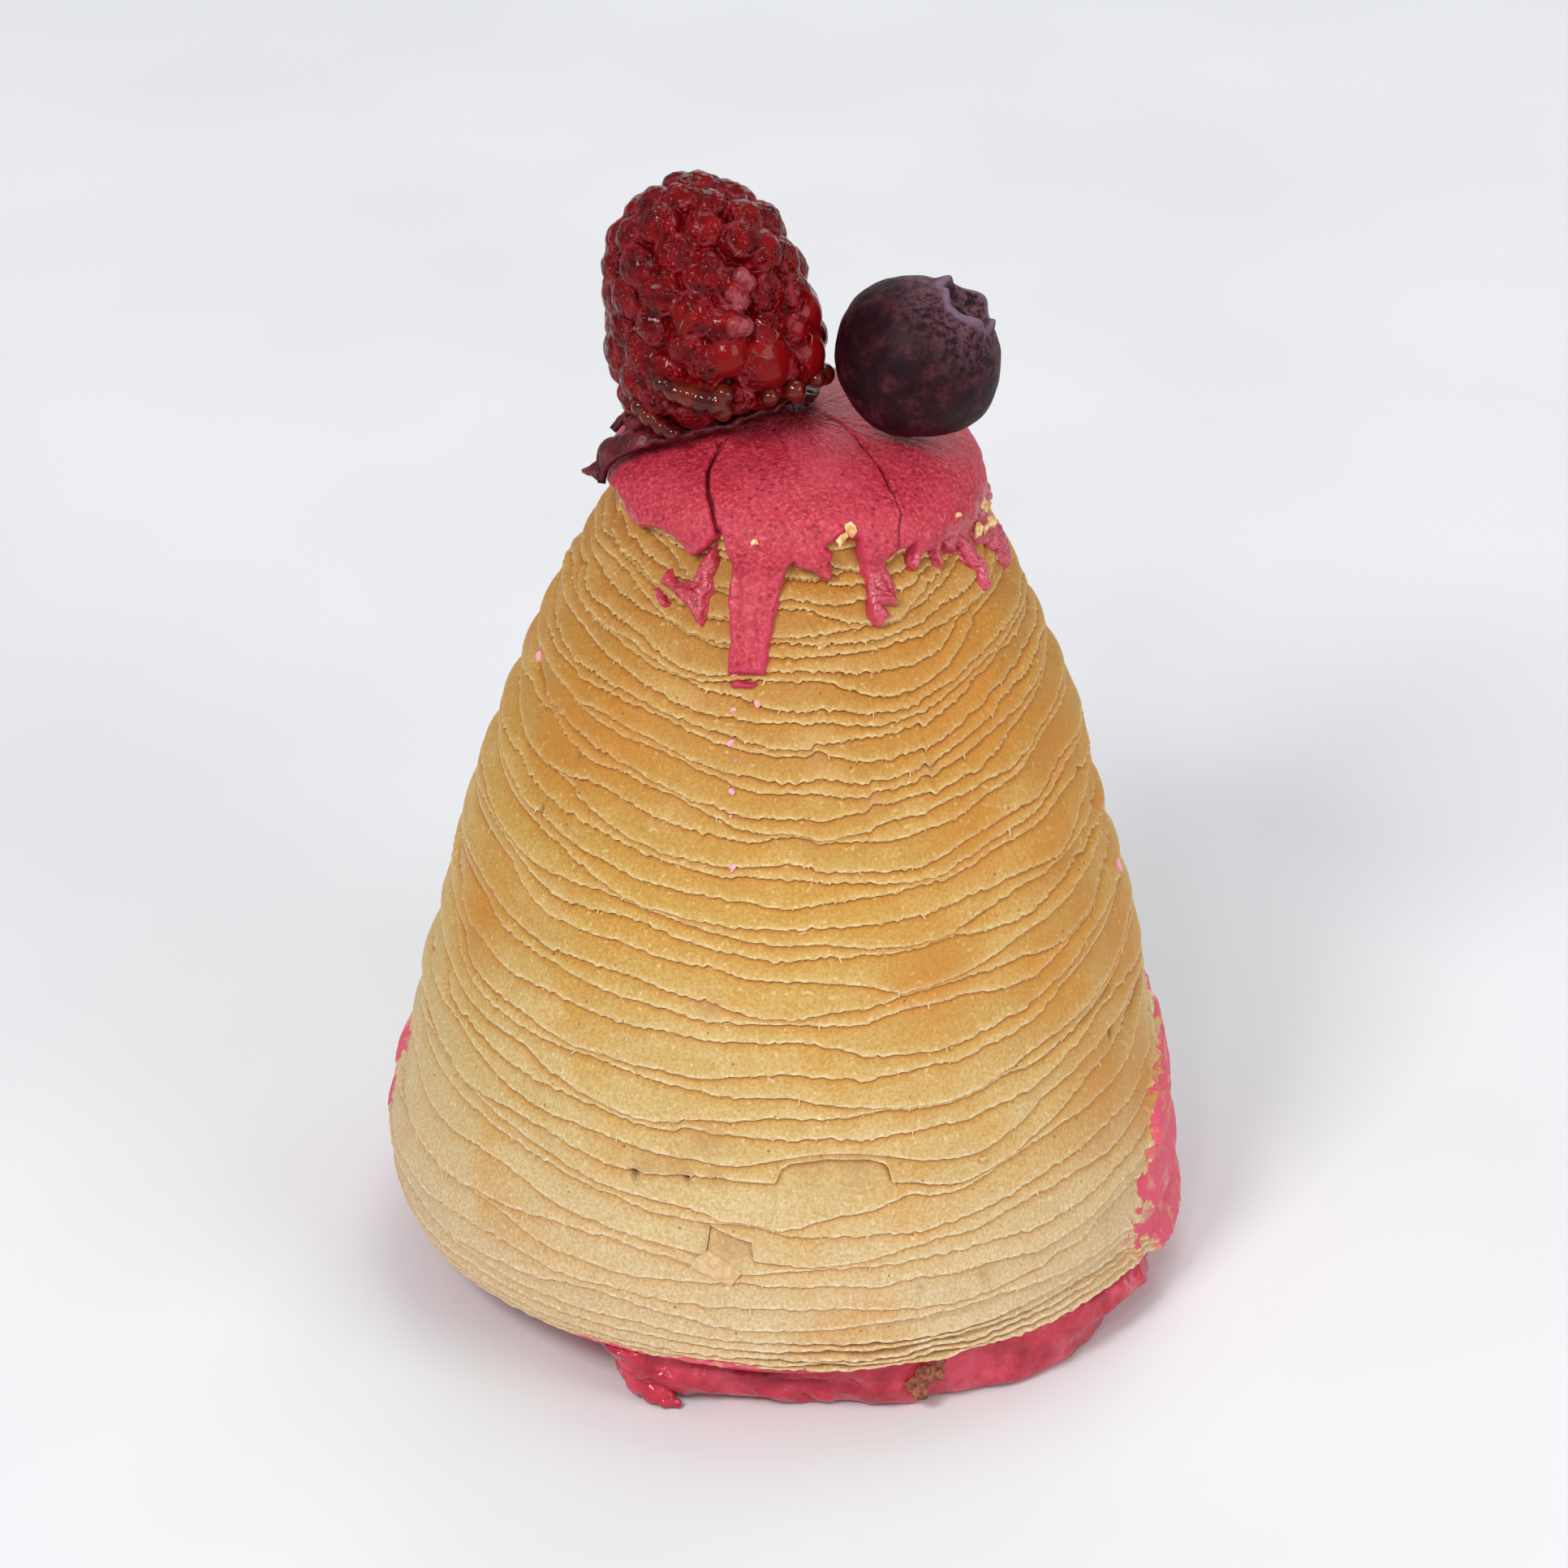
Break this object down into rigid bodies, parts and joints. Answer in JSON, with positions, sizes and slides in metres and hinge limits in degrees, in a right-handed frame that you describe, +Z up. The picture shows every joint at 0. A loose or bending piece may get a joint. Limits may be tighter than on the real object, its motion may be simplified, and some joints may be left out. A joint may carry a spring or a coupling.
{
  "type": "sfogliatella",
  "caption": "Bell-shaped flaky pastry with a pink icing cap and foot, topped with a glazed raspberry, a blueberry and a slice of dark fruit.",
  "frame": {"origin": "the surface that the bell stands on, below the bell's axis", "axes": "+Z up along the bell's axis, -Y towards the front with the long icing drip, +X to the right in the front view"},
  "size_m": [0.0708, 0.0694, 0.1035],
  "materials": {
    "pastry": "matte",
    "icing": "satin",
    "raspberry": "gloss",
    "blueberry": "satin",
    "fruit_slice": "gloss"
  },
  "bodies": {
    "root": {"pastry": "pastry", "base_coating": "icing", "icing_cap": "icing", "raspberry": "raspberry", "blueberry": "blueberry", "fruit_slice": "fruit_slice"}
  },
  "joints": []
}
